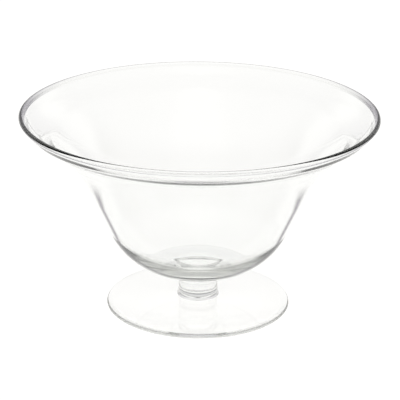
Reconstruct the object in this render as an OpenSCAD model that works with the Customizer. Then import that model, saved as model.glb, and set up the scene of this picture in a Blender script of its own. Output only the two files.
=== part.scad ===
// Footed trifle bowl of clear, colourless glass.
// Three gathers of hot glass are joined in a row: the foot, the button stem and the bowl.
// Each piece is turned about the upright axis, and each pair meets on a flat round weld.
// Heights are measured from the table, and radii from the axis.

/* [Bowl] */
// Height of the whole piece, from the table to the top of the lip
total_h = 160; // [145:1:185]
// Diameter over the lip, the widest place of the bowl
rim_d = 280; // [250:1:320]
// Diameter of the round bead that the flame leaves along the lip
bead_d = 3.7; // [3.2:0.1:4.6]
// Radius of the small hollow on the inside, where the bead meets the wall
bead_hollow = 6; // [4:0.5:9]
// Distance in from the lip to the upper bend of the flared rim, where it turns up to the lip
crook_in = 7.7; // [6:0.1:10]
// Height of the lip above the upper bend
crook_drop = 11.2; // [9:0.2:13]
// Radius of the soft curve at the upper bend
crook_round = 20; // [10:1:30]
// Radius of that curve on the inside
crook_round_in = 30; // [20:1:40]
// Thickness of the glass at the upper bend
crook_t = 2.4; // [1.8:0.1:3.2]
// Distance in from the lip to the lower bend, where the rise from the sides turns out
shelf_in = 21.2; // [18:0.1:24]
// Height of the lip above the lower bend
shelf_drop = 18.7; // [16:0.1:21]
// Radius of the soft curve at the lower bend
shelf_round = 30; // [15:1:45]
// Radius of that curve on the inside
shelf_round_in = 37; // [20:1:50]
// Thickness of the glass at the lower bend
shelf_t = 2.9; // [2:0.1:3.6]
// Distance in from the lip to the bend where the sides turn out into the flared rim
flare_in = 46.2; // [42:0.1:50]
// Height of the lip above that bend
flare_drop = 46.3; // [40:0.1:52]
// Radius of the soft curve at that bend
flare_round = 140; // [80:5:150]
// Thickness of the glass at that bend
flare_t = 2.9; // [1.8:0.1:3.6]
// Thickness of the sides, where they run into the belly
side_t = 2.0; // [1.6:0.1:3.4]
// Diameter of the corner where the sides would meet the underside
base_d = 113.2; // [106:0.2:120]
// Rise of the underside, from the neck out to that corner
base_rise = 5.6; // [3:0.2:8]
// Radius of the round belly that takes the place of that corner
base_round = 60; // [44:1:62]
// Height of the short neck under the bowl, which the stem is welded to
neck_h = 5.8; // [5.4:0.1:8]
// Radius of the soft curve where the neck spreads out into the underside
neck_round = 5.6; // [3:0.1:6]
// Thickness of the glass from the inside floor down to the underside
bottom_t = 10; // [8:0.5:12]
// Rise of the inside floor, from its middle out to above the rim of the weld
floor_rise = 0.4; // [0.1:0.1:2]
// Radius of the inside corner between the floor and the sides
floor_round = 46; // [34:1:52]

/* [Stem] */
// Diameter at half its height of the corner that its drawn-in sides are curved from
stem_d = 29.6; // [24:0.2:31.4]
// Height of the stem, between its two welds
stem_h = 14.8; // [10:0.2:18]
// Diameter of the weld under the neck
stem_top_d = 32.6; // [31.8:0.2:35]
// Diameter of the weld on the foot
stem_foot_d = 33; // [31.8:0.2:36]

/* [Foot] */
// Diameter of the foot
foot_d = 146; // [125:1:165]
// Thickness of the foot at its rounded edge
foot_edge_t = 2.8; // [2.4:0.1:4]
// Height of the top of the foot at the weld, where the stem starts
foot_h = 7.4; // [6.8:0.1:8.4]
// Diameter of the shoulder, where the thin rim of the foot starts to rise to the stem
shoulder_d = 90; // [80:1:98]
// Height of the top of the foot at the shoulder
shoulder_h = 6.4; // [5.8:0.1:6.6]
// Radius of the long curve at the shoulder
shoulder_round = 500; // [100:10:520]
// Width of the flat ring round the underside that stands on the table
rest_w = 4; // [3:0.5:12]
// Radius of the soft curve from that ring into the hollow
rest_round = 14; // [4:1:20]
// Depth of the shallow hollow in the underside
hollow_h = 3; // [1.5:0.1:4]
// Diameter of the flat in the middle of the hollow
hollow_flat_d = 4; // [2:0.5:12]
// Radius of the soft curve round that flat
hollow_round = 5; // [3:0.5:20]

/* [Hidden] */
// Sides of the preview's circles
$fn = 180;
// Furthest that a straight step of an outline may lie from its true arc
arc_sag = 0.02;
// Rounding of the foot's edge, as a share of its thickness
edge_round_share = 0.48;
// Share of a straight side that the curves at its two ends may take up
curve_share = 0.94;

// Heights of the upper weld and the underside, and the radii of the welds, the foot and the bead
weld_z = foot_h + stem_h;
under_z = weld_z + neck_h;
stem_top_r = stem_top_d / 2;
stem_foot_r = stem_foot_d / 2;
foot_r = foot_d / 2;
bead_r = bead_d / 2;

// Outside of the bowl, from the weld up to the bead
lip_r = rim_d / 2;
weld_edge = [stem_top_r, weld_z];
neck = [stem_top_r, under_z];
belly = [base_d / 2, under_z + base_rise];
flare = [lip_r - flare_in, total_h - flare_drop];
shelf = [lip_r - shelf_in, total_h - shelf_drop];
crook = [lip_r - crook_in, total_h - crook_drop];
bead_mid = [lip_r - bead_r, total_h - bead_r];
bead_start = tangent_point(crook, bead_mid, bead_r);

// The hollow inside the lip, which touches the bead and runs into the inner face of the rim
rim_up = toward(crook, bead_start);
rim_in = left_of(crook, bead_start);
hollow_side = crook_t - bead_r + bead_hollow;
hollow_back = sqrt((bead_r + bead_hollow) ^ 2 - hollow_side ^ 2);
hollow_mid = bead_mid + hollow_side * rim_in - hollow_back * rim_up;
lip_in = hollow_mid - bead_hollow * rim_in;

// Inside of the bowl: the sides grow thicker towards the belly
side_way = left_of(belly, flare);
side_low = belly + side_t * side_way;
side_high = flare + flare_t * side_way;
floor_mid = [0, under_z + bottom_t];
floor_out = [stem_top_r, floor_mid[1] + floor_rise];
floor_corner = meet(floor_mid, floor_out, side_low, side_high);

// Unit vector from a to b, and the one that lies 90 degrees to its left
function toward(a, b) = (b - a) / norm(b - a);
function left_of(a, b) = let (u = toward(a, b)) [-u[1], u[0]];

// Point where the line through a and b crosses the line through c and d
function meet(a, b, c, d) =
    let (u = b - a, v = d - c, w = c - a)
    a + u * (w[0] * v[1] - w[1] * v[0]) / (u[0] * v[1] - u[1] * v[0]);

// Inside corner behind the corner b of the outline a, b, c, where the wall is t thick
function moved_in(a, b, c, t) =
    let (m = left_of(a, b), n = left_of(b, c))
    b + t * (m + n) / (1 + m * n);

// Angle of the direction v, from straight out towards straight up
function angle_of(v) = atan2(v[1], v[0]);

// The same turn, the short way round
function short_way(turn) = turn - 360 * round(turn / 360);

// Point where a line from p touches the circle of radius r round c, with the circle on its left
function tangent_point(p, c, r) =
    let (v = c - p, d = norm(v), a = angle_of(v) - asin(r / d))
    p + sqrt(d * d - r * r) * [cos(a), sin(a)];

// Points of an arc of radius r round c, from angle start through angle sweep
function arc(c, r, start, sweep) =
    let (steps = max(2, ceil(abs(sweep) / (2 * acos(1 - arc_sag / r)))))
    [for (i = [0:steps]) let (t = start + sweep * i / steps) c + r * [cos(t), sin(t)]];

// Points of the arc of radius r that rounds the corner b between a and c
function rounded_corner(a, b, c, r) =
    let (
        u = toward(b, a),
        v = toward(b, c),
        half = half_angle(a, b, c),
        mid = b + (u + v) / norm(u + v) * r / sin(half),
        first = b + u * r / tan(half) - mid,
        last = b + v * r / tan(half) - mid
    )
    arc(mid, r, angle_of(first), short_way(angle_of(last) - angle_of(first)));

// Half the angle at the corner b between a and c
function half_angle(a, b, c) = acos(toward(b, a) * toward(b, c)) / 2;

// Radius of the longest curve that the corner b between a and c can have
function longest_round(a, b, c) =
    curve_share * min(norm(a - b), norm(c - b)) * tan(half_angle(a, b, c));

// Open path through points, where each one between its ends has the rounding listed for it.
// Where two curves would meet on a short side, both are made smaller by the same share.
function rounded_path(points, rounds) =
    let (
        last = len(points) - 1,
        taken = [for (i = [0:last])
            rounds[i] == 0 ? 0
                : rounds[i] / tan(half_angle(points[i - 1], points[i], points[i + 1]))],
        fits = [for (i = [0:last - 1])
            let (both = taken[i] + taken[i + 1], room = curve_share * norm(points[i + 1] - points[i]))
            both > room ? room / both : 1]
    )
    [for (i = [0:last])
        each rounds[i] == 0 ? [points[i]]
            : rounded_corner(points[i - 1], points[i], points[i + 1],
                rounds[i] * min(fits[i - 1], fits[i]))];

// The bowl: a short neck, a thick bottom, a round belly, and a rim that bends twice to its bead
module bowl() {
    outside = rounded_path(
        [[0, weld_z], weld_edge, neck, belly, flare, shelf, crook, bead_start],
        [0, 0, neck_round, base_round, flare_round, shelf_round, crook_round, 0]
    );
    to_start = bead_start - bead_mid;
    to_hollow = hollow_mid - bead_mid;
    bead_turn = angle_of(to_hollow) - angle_of(to_start);
    bead = arc(bead_mid, bead_r, angle_of(to_start), bead_turn - 360 * floor(bead_turn / 360));
    // Both of the bead's ends lie on its neighbours
    bead_between = [for (i = [1:len(bead) - 2]) bead[i]];
    hollow_turn = short_way(angle_of(-rim_in) - angle_of(-to_hollow));
    hollow = arc(hollow_mid, bead_hollow, angle_of(-to_hollow), hollow_turn);
    inside = rounded_path(
        [
            lip_in,
            moved_in(shelf, crook, bead_start, crook_t),
            moved_in(flare, shelf, crook, shelf_t),
            moved_in(belly, flare, shelf, flare_t),
            floor_corner,
            floor_mid,
        ],
        [0, crook_round_in, shelf_round_in, flare_round, floor_round, 0]
    );
    // The hollow ends where the inside starts
    inside_rest = [for (i = [1:len(inside) - 1]) inside[i]];
    color([0.86, 0.93, 0.91, 0.45])
        rotate_extrude() polygon(concat(outside, bead_between, hollow, inside_rest));
}

// The stem: a squat button of solid glass between the neck and the foot
module stem() {
    foot_weld = [stem_foot_r, foot_h];
    waist = [stem_d / 2, foot_h + stem_h / 2];
    side_curve = longest_round(foot_weld, waist, weld_edge);
    side = rounded_path([foot_weld, waist, weld_edge], [0, side_curve, 0]);
    color([0.84, 0.92, 0.90, 0.6])
        rotate_extrude() polygon(concat([[0, foot_h]], side, [[0, weld_z]]));
}

// The foot: a thin disc that rises in a long curve to the stem, with a shallow hollow under it
module foot() {
    edge_round = foot_edge_t * edge_round_share;
    outline = rounded_path(
        [
            [0, hollow_h],
            [hollow_flat_d / 2, hollow_h],
            [foot_r - edge_round - rest_w, 0],
            [foot_r, 0],
            [foot_r, foot_edge_t],
            [shoulder_d / 2, shoulder_h],
            [stem_foot_r, foot_h],
            [0, foot_h],
        ],
        [0, hollow_round, rest_round, edge_round, edge_round, shoulder_round, 0, 0]
    );
    color([0.86, 0.93, 0.91, 0.45])
        rotate_extrude() polygon(outline);
}

bowl();
stem();
foot();
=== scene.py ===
import math

import bpy
from mathutils import Matrix, Vector


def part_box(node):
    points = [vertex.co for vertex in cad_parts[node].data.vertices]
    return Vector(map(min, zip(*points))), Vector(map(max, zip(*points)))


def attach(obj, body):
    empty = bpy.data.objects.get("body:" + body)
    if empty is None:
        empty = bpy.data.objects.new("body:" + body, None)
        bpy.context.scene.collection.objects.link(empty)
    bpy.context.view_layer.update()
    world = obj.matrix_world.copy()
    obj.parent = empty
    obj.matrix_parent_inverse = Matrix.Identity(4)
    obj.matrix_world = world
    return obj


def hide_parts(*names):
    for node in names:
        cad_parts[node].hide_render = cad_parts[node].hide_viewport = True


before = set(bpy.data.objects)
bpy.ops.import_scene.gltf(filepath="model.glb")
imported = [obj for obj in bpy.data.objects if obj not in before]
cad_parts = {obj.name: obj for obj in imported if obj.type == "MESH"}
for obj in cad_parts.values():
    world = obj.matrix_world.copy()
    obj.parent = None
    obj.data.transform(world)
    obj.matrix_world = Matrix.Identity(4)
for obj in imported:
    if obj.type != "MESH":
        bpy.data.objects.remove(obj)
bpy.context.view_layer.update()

# Camera
# It stands in front of the bowl at the height of a person's eyes at a table, behind a long lens,
# and looks down into the bowl. It leans a little to one side, as the photograph does.
camera_back = 1.3250
camera_up = 0.5869
look_down = math.radians(20.68)
look_right = math.radians(0.04)
lean = math.radians(0.57)
sensor_width = 36
lens_in_pixels = 1793
picture_width = 400

camera_data = bpy.data.cameras.new("camera")
camera_data.sensor_width = sensor_width
camera_data.lens = lens_in_pixels / picture_width * sensor_width
camera = bpy.data.objects.new("camera", camera_data)
camera.matrix_world = (
    Matrix.Translation((0, -camera_back, camera_up))
    @ Matrix.Rotation(-look_right, 4, "Z")
    @ Matrix.Rotation(math.pi / 2 - look_down, 4, "X")
    @ Matrix.Rotation(lean, 4, "Z")
)
bpy.context.scene.collection.objects.link(camera)
bpy.context.scene.camera = camera

# Foot
# A gather of clear glass, spun out into a thin disc while hot, so its edge is round and its top
# rises softly to the weld. The underside is ground to a ring that stands on the table.
foot_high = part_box("foot")[1]
foot_r = foot_high.x
foot_top = foot_high.z
foot_edge_t = 0.0028
foot_edge_round_share = 0.48
foot_edge_round = foot_edge_t * foot_edge_round_share
foot_weld_r = 0.0165
foot_shoulder_r = 0.045
foot_shoulder_h = 0.0064
foot_shoulder_round = 0.5
rest_w = 0.004
rest_round = 0.014
hollow_h = 0.003
hollow_flat_r = 0.002
hollow_round = 0.005
weld_gap = 0.00001
turns = 256
arc_sag = 0.000004
sharp_from = math.radians(40)
clean_tone = (1.0, 1.0, 1.0, 1)
smear_tone = (0.985, 0.992, 0.988, 1)
smears_from = 0.62
smear_roughness = 0.004
depth_tone = (0.74, 0.76, 0.71, 1)


def arc(middle, radius, start, sweep):
    """Points along an arc round a middle, from the angle start through sweep."""
    steps = max(2, math.ceil(abs(sweep) / (2 * math.acos(1 - arc_sag / radius))))
    angles = [start + sweep * step / steps for step in range(steps + 1)]
    return [middle + radius * Vector((math.cos(angle), math.sin(angle))) for angle in angles]


def angle_of(direction):
    """Angle of a direction in the outline, from straight out, towards straight up."""
    return math.atan2(direction.y, direction.x)


def short_way(turn):
    """The same turn, the short way round."""
    return turn - math.tau * round(turn / math.tau)


def rounded_corner(before, corner, after, radius):
    """Points of the arc that takes the place of a corner."""
    back, on = (before - corner).normalized(), (after - corner).normalized()
    half = back.angle(on) / 2
    middle = corner + (back + on).normalized() * radius / math.sin(half)
    first = corner + back * radius / math.tan(half) - middle
    last = corner + on * radius / math.tan(half) - middle
    return arc(middle, radius, angle_of(first), short_way(angle_of(last) - angle_of(first)))


def rounded_outline(corners):
    """An outline through (radius, height, rounding) corners, each with its own rounding."""
    places = [Vector(corner[:2]) for corner in corners]
    outline = []
    for index, (place, corner) in enumerate(zip(places, corners)):
        if corner[2] == 0:
            outline.append(place)
        else:
            outline += rounded_corner(places[index - 1], place, places[index + 1], corner[2])
    return outline


def turned_piece(name, outline):
    """A closed piece of glass, turned from an outline that starts and ends on the upright axis."""
    points, rings = [], []
    for place in outline:
        if place.x < arc_sag:
            rings.append([len(points)] * turns)
            points.append((0, 0, place.y))
        else:
            rings.append(range(len(points), len(points) + turns))
            for turn in range(turns):
                angle = math.tau * turn / turns
                points.append((place.x * math.cos(angle), place.x * math.sin(angle), place.y))
    faces = []
    for low, high in zip(rings, rings[1:]):
        for turn in range(turns):
            after = (turn + 1) % turns
            face = (low[turn], low[after], high[after], high[turn])
            faces.append(tuple(dict.fromkeys(face)))
    mesh = bpy.data.meshes.new(name)
    mesh.from_pydata(points, [], faces)
    mesh.shade_smooth()
    mesh.set_sharp_from_angle(angle=sharp_from)
    piece = bpy.data.objects.new(name, mesh)
    bpy.context.scene.collection.objects.link(piece)
    return piece


class Shade:
    """A socket of a node tree, on which numbers and other sockets are reckoned through Math nodes."""

    def __init__(self, tree, socket=None):
        self.tree = tree
        self.socket = socket

    def node(self, kind, settings, sockets, out=0):
        """A new node of a kind, with its settings, then its sockets' values or links."""
        made = self.tree.nodes.new("ShaderNode" + kind)
        for name, value in settings.items():
            if name == "stops":
                for element in list(made.color_ramp.elements)[1:]:
                    made.color_ramp.elements.remove(element)
                for index, (position, colour) in enumerate(value):
                    stops = made.color_ramp.elements
                    stop = stops[0] if index == 0 else stops.new(position)
                    stop.position = position
                    stop.color = (*colour, 1)
            else:
                setattr(made, name, value)
        for name, value in sockets.items():
            if isinstance(value, Shade):
                self.tree.links.new(value.socket, made.inputs[name])
            else:
                made.inputs[name].default_value = value
        return Shade(self.tree, made.outputs[out] if made.outputs else None)

    def colour(self, factor, first, last):
        """A colour between two colours, by a factor from 0 to 1."""
        return self.node("Mix", {"data_type": "RGBA"}, {0: factor, 6: first, 7: last}, out=2)

    def rise(self, low, high):
        """0 at low, 1 at high and soft between them, whichever of the two is the larger."""
        limits = {"Value": self, "From Min": low, "From Max": high}
        return self.node("MapRange", {"interpolation_type": "SMOOTHSTEP"}, limits)

    def math(self, operation, first, second):
        """A Math node on two values, each of them a socket or a number."""
        return self.node("Math", {"operation": operation}, {0: first, 1: second})

    def __add__(self, other):
        return self.math("ADD", self, other)

    def __radd__(self, other):
        return self.math("ADD", other, self)

    def __rsub__(self, other):
        return self.math("SUBTRACT", other, self)

    def __mul__(self, other):
        return self.math("MULTIPLY", self, other)

    def __rmul__(self, other):
        return self.math("MULTIPLY", other, self)

    def __gt__(self, other):
        return self.math("GREATER_THAN", self, other)

    def __lt__(self, other):
        return self.math("LESS_THAN", self, other)


def clear_glass(name, cord_scale, cord_depth, murk, welds, painted_edge_shade=None):
    """Soda glass: pale green in its depth, with faint cords from gathering and turning it hot.

    cord_scale stretches the cords along x, y and z, cord_depth is how far they stand up in metres,
    and murk is how much light the glass takes up per metre of its depth. welds gives 1 where the
    piece is fused to the next one, from the height of a point. edges, if it is given, paints shade
    into the tone of the glass where it is seen on edge.
    """
    material = bpy.data.materials.new(name)
    material.use_nodes = True
    material.node_tree.nodes.clear()
    shade = Shade(material.node_tree)
    place = shade.node("TexCoord", {}, {}, out="Object")
    height = shade.node("SeparateXYZ", {}, {"Vector": place}, out="Z")
    along = shade.node("VectorMath", {"operation": "MULTIPLY"}, {0: place, 1: cord_scale})
    cords = shade.node("TexNoise", {}, {"Vector": along, "Scale": 1.0, "Detail": 2.0, "Roughness": 0.4})
    surface = shade.node("Bump", {}, {"Strength": 1.0, "Distance": cord_depth, "Height": cords})
    smears = shade.node("TexNoise", {}, {"Vector": place, "Scale": 22.0, "Detail": 4.0, "Distortion": 1.2})
    smeared = smears > smears_from
    tone = shade.colour(smears, clean_tone, smear_tone)
    if painted_edge_shade:
        tone = painted_edge_shade(shade, place, height, tone)
    glass = shade.node(
        "BsdfPrincipled",
        {},
        {
            "Base Color": tone,
            "Roughness": smear_roughness * smeared,
            "IOR": 1.5,
            "Transmission Weight": 1.0,
            "Normal": surface,
        },
    )
    through = shade.node("BsdfTransparent", {}, {})
    fused = shade.node("MixShader", {}, {0: welds(height), 1: glass, 2: through})
    depth = shade.node("VolumeAbsorption", {}, {"Color": depth_tone, "Density": murk})
    shade.node("OutputMaterial", {}, {"Surface": fused, "Volume": depth})
    return material


foot = turned_piece(
    "foot_disc",
    rounded_outline([
        (0, hollow_h, 0),
        (hollow_flat_r, hollow_h, hollow_round),
        (foot_r - foot_edge_round - rest_w, 0, rest_round),
        (foot_r, 0, foot_edge_round),
        (foot_r, foot_edge_t, foot_edge_round),
        (foot_shoulder_r, foot_shoulder_h, foot_shoulder_round),
        (foot_weld_r, foot_top - weld_gap, 0),
        (0, foot_top - weld_gap, 0),
    ]),
)
foot.data.materials.append(
    clear_glass(
        "foot_glass",
        cord_scale=(14, 14, 60),
        cord_depth=0.00002,
        murk=3.0,
        welds=lambda height: height > foot_top - 2 * weld_gap,
    )
)
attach(foot, "root")
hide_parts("foot")

# Stem
# A short button of solid glass, dropped hot on the foot and drawn in a little by the jacks.
# Both of its ends are fused to their neighbours, so light passes straight through the welds.
stem_low, stem_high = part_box("stem")
stem_waist_r = 0.0148
stem_top_r = 0.0163
stem_round = 0.0328
stem = turned_piece(
    "stem_button",
    rounded_outline([
        (0, stem_low.z + weld_gap, 0),
        (foot_weld_r, stem_low.z + weld_gap, 0),
        (stem_waist_r, (stem_low.z + stem_high.z) / 2, stem_round),
        (stem_top_r, stem_high.z - weld_gap, 0),
        (0, stem_high.z - weld_gap, 0),
    ]),
)
stem.data.materials.append(
    clear_glass(
        "stem_glass",
        cord_scale=(30, 30, 90),
        cord_depth=0.00002,
        murk=3.0,
        welds=lambda height: (height > stem_high.z - 2 * weld_gap) + (height < stem_low.z + 2 * weld_gap),
    )
)
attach(stem, "root")
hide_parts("stem")

# Bowl
# Blown glass, thick at the bottom and thin up the sides. The jacks open it out at the flare and
# again at the shelf, and it turns up at the crook. The lip is melted in the flame into a round
# bead, and a small hollow leads from the bead to the wall on the inside.
bowl_low, bowl_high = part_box("bowl")
rim_r = bowl_high.x
rim_z = bowl_high.z
weld_z = bowl_low.z + weld_gap
bead_r = 0.00185
bead_hollow = 0.006
crook_r = 0.1323
crook_drop = 0.0112
crook_round = 0.020
crook_round_in = 0.030
crook_t = 0.0024
shelf_r = 0.1188
shelf_drop = 0.0187
shelf_round = 0.030
shelf_round_in = 0.037
shelf_t = 0.0029
flare_r = 0.0938
flare_drop = 0.0463
flare_round = 0.140
flare_t = 0.0029
belly_r = 0.0566
belly_rise = 0.0056
belly_round = 0.060
neck_h = 0.0058
neck_round = 0.0056
side_t = 0.0020
bottom_t = 0.010
floor_rise = 0.0004
floor_round = 0.046
sides_fade = 0.010
sides_past_flare = 0.015
# Painted shade: the limits and dark tones below darken the glass where the sides and the bead are seen on
# edge.
painted_side_shade_starts = (0.71, 0.77)
painted_side_shade_ends = (0.86, 0.79)
painted_side_shade_tone = (0.06, 0.05, 0.07, 1)
painted_bead_shade_from = (0.3, 0.7)
painted_bead_shade_tone = (0.16, 0.15, 0.18, 1)


def left_of(first, last):
    """Unit vector 90 degrees to the left of the way from first to last."""
    way = (last - first).normalized()
    return Vector((-way.y, way.x))


def moved_in(before, corner, after, thickness):
    """The inside corner behind an outside corner, where the wall between them has a thickness."""
    one, other = left_of(before, corner), left_of(corner, after)
    return corner + (one + other) * thickness / (1 + one.dot(other))


def meet(first, last, other_first, other_last):
    """Where the line through two points crosses the line through two others."""
    way, other, gap = last - first, other_last - other_first, other_first - first
    return first + way * gap.cross(other) / way.cross(other)


under_z = bowl_low.z + neck_h
neck = Vector((stem_top_r, under_z))
belly = Vector((belly_r, under_z + belly_rise))
flare = Vector((flare_r, rim_z - flare_drop))
shelf = Vector((shelf_r, rim_z - shelf_drop))
crook = Vector((crook_r, rim_z - crook_drop))
bead = Vector((rim_r - bead_r, rim_z - bead_r))

# The outside runs into the round of the bead on a tangent, and the inside leaves it by the hollow
to_bead = bead - crook
tangent_turn = angle_of(to_bead) - math.asin(bead_r / to_bead.length)
tangent_length = math.sqrt(to_bead.length_squared - bead_r * bead_r)
bead_start = crook + tangent_length * Vector((math.cos(tangent_turn), math.sin(tangent_turn)))
rim_way = (bead_start - crook).normalized()
rim_in = left_of(crook, bead_start)
hollow_up = crook_t - bead_r + bead_hollow
hollow_back = math.sqrt((bead_r + bead_hollow) ** 2 - hollow_up**2)
hollow_middle = bead + hollow_up * rim_in - hollow_back * rim_way
to_hollow = (hollow_middle - bead).normalized()
bead_from = angle_of(bead_start - bead)
bead_sweep = (angle_of(to_hollow) - bead_from) % math.tau
hollow_from = angle_of(-to_hollow)
hollow_sweep = short_way(angle_of(-rim_in) - hollow_from)
lip = arc(bead, bead_r, bead_from, bead_sweep)[1:-1]
lip += arc(hollow_middle, bead_hollow, hollow_from, hollow_sweep)

floor_middle = Vector((0, under_z + bottom_t))
floor_edge = Vector((stem_top_r, floor_middle.y + floor_rise))
side_way = left_of(belly, flare)
floor_corner = meet(floor_middle, floor_edge, belly + side_t * side_way, flare + flare_t * side_way)
outside = rounded_outline([
    (0, weld_z, 0),
    (stem_top_r, weld_z, 0),
    (*neck, neck_round),
    (*belly, belly_round),
    (*flare, flare_round),
    (*shelf, shelf_round),
    (*crook, crook_round),
    (*bead_start, 0),
])
inside = rounded_outline([
    (*lip[-1], 0),
    (*moved_in(shelf, crook, bead_start, crook_t), crook_round_in),
    (*moved_in(flare, shelf, crook, shelf_t), shelf_round_in),
    (*moved_in(belly, flare, shelf, flare_t), flare_round),
    (*floor_corner, floor_round),
    (*floor_middle, 0),
])
bowl = turned_piece("bowl_blown", outside + lip + inside[1:])


def painted_bowl_edge_shade(shade, place, height, tone):
    """The tone of the bowl's glass with painted shade: a thin dark line down its sides and a dark edge on
    the bead, where the glass is seen on edge.
    """
    aslant = shade.node("LayerWeight", {}, {"Blend": 0.5}, out="Facing")
    from_axis = shade.node("VectorMath", {"operation": "MULTIPLY"}, {0: place, 1: (1, 1, 0)})
    normal = shade.node("NewGeometry", {}, {}, out="Normal")
    both_ways = {0: normal, 1: from_axis}
    outwards = shade.node("VectorMath", {"operation": "DOT_PRODUCT"}, both_ways, out="Value")
    entering = 1 - shade.node("NewGeometry", {}, {}, out="Backfacing")
    above_belly = height.rise(belly.y, belly.y + sides_fade)
    below_rim = height.rise(flare.y + sides_past_flare, flare.y - sides_fade)
    # Painted shade: a thin dark line where the outside of the side wall is seen on edge
    line = aslant.rise(*painted_side_shade_starts) * aslant.rise(*painted_side_shade_ends) * (outwards > 0) * entering
    tone = shade.colour(line * above_belly * below_rim, tone, painted_side_shade_tone)
    # Painted shade: the bead turns dark grey where it is seen on edge
    on_bead = height > bead.y - bead_r
    return shade.colour(aslant.rise(*painted_bead_shade_from) * on_bead, tone, painted_bead_shade_tone)


bowl.data.materials.append(
    clear_glass(
        "bowl_glass",
        cord_scale=(9, 9, 38),
        cord_depth=0.00003,
        murk=9.0,
        welds=lambda height: height < weld_z + weld_gap,
        painted_edge_shade=painted_bowl_edge_shade,
    )
)
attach(bowl, "root")
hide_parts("bowl")

# Studio
# A white floor inside a tent of white cloth, lit from outside. The cloth is bright near the floor
# and beyond the bowl, with a dim band above that at the sides and behind the camera, which draws
# the grey lines in clear glass. The camera itself sees plain white behind the floor.
floor_half = 3.0
floor_drop = 0.0002
floor_grey = (0.22, 0.22, 0.22, 1)
floor_glow = 0.95
floor_glow_to_camera = 0.03
lit_cloth = (1.0, 0.996, 0.975)
dim_cloth = (0.96, 0.93, 1.05)
tent_strength = 2.0
corners = [(x * floor_half, y * floor_half, 0) for x, y in ((-1, -1), (1, -1), (1, 1), (-1, 1))]
floor_mesh = bpy.data.meshes.new("floor")
floor_mesh.from_pydata(corners, [], [(0, 1, 2, 3)])
floor = bpy.data.objects.new("floor", floor_mesh)
floor.location.z = -floor_drop
bpy.context.scene.collection.objects.link(floor)

floor_paint = bpy.data.materials.new("floor_paint")
floor_paint.use_nodes = True
floor_paint.node_tree.nodes.clear()
shade = Shade(floor_paint.node_tree)
to_camera = shade.node("LightPath", {}, {}, out="Is Camera Ray")
matt = shade.node("BsdfDiffuse", {}, {"Color": floor_grey})
strength = floor_glow + floor_glow_to_camera * to_camera
glow = shade.node("Emission", {}, {"Color": (*lit_cloth, 1), "Strength": strength})
white = shade.node("AddShader", {}, {0: matt, 1: glow})
shade.node("OutputMaterial", {}, {"Surface": white})
floor_mesh.materials.append(floor_paint)

world = bpy.data.worlds.new("tent")
world.use_nodes = True
world.node_tree.nodes.clear()
shade = Shade(world.node_tree)
way = shade.node("TexCoord", {}, {}, out="Generated")
up = shade.node("SeparateXYZ", {}, {"Vector": way}, out="Z")
level = shade.node("VectorMath", {"operation": "MULTIPLY"}, {0: way, 1: (1, 1, 0)})
heading = shade.node("VectorMath", {"operation": "NORMALIZE"}, {0: level})
ahead = shade.node("SeparateXYZ", {}, {"Vector": heading}, out="Y")


def tent_band(stops):
    """Colour of the cloth by its height above the floor's horizon, from (degrees, brightness) stops."""
    places = []
    for degrees, grey in stops:
        colour = Vector(dim_cloth).lerp(Vector(lit_cloth), grey) * grey / tent_strength
        places.append(((math.sin(math.radians(degrees)) + 1) / 2, colour))
    return shade.node("ValToRGB", {"stops": places}, {"Fac": 0.5 + 0.5 * up})


behind_camera = tent_band([(-90, 1.0), (3, 1.0), (6, 0.1), (27, 0.03), (34, 0.4), (42, 0.7), (90, 0.7)])
behind_corners = tent_band([(-90, 1.0), (3, 1.0), (6, 0.03), (28, 0.03), (34, 0.3), (42, 0.5), (90, 0.5)])
at_sides = tent_band([(-90, 1.0), (3, 1.0), (6, 0.03), (22, 0.03), (29, 0.2), (40, 0.45), (90, 0.4)])
far_corners = tent_band(
    [(-90, 1.0), (4, 1.0), (8, 0.4), (12, 0.5), (16, 0.75), (27, 0.85), (38, 0.5), (90, 0.4)]
)
beyond = tent_band([(-90, 1.0), (5, 1.0), (8, 0.7), (20, 0.7), (26, 0.9), (33, 0.95), (42, 0.5), (90, 0.5)])

# ahead is -1 behind the camera, 0 at the bowl's sides and 1 straight beyond it
tent = shade.colour(ahead.rise(-0.95, -0.75), behind_camera, behind_corners)
tent = shade.colour(ahead.rise(-0.6, -0.35), tent, at_sides)
tent = shade.colour(ahead.rise(0.35, 0.6), tent, far_corners)
tent = shade.colour(ahead.rise(0.78, 0.93), tent, beyond)
seen = shade.node("LightPath", {}, {}, out="Is Camera Ray")
light = shade.node("Background", {}, {"Color": tent, "Strength": tent_strength})
backdrop = shade.node("Background", {}, {"Color": (1, 1, 1, 1), "Strength": 1.0})
sky = shade.node("MixShader", {}, {0: seen, 1: light, 2: backdrop})
shade.node("OutputWorld", {}, {"Surface": sky})
bpy.context.scene.world = world

scene = bpy.context.scene
scene.view_settings.view_transform = "Standard"
scene.cycles.max_bounces = 26
scene.cycles.transmission_bounces = 128
scene.cycles.glossy_bounces = 128
scene.cycles.transparent_max_bounces = 16
scene.cycles.blur_glossy = 0
scene.cycles.sample_clamp_indirect = 0
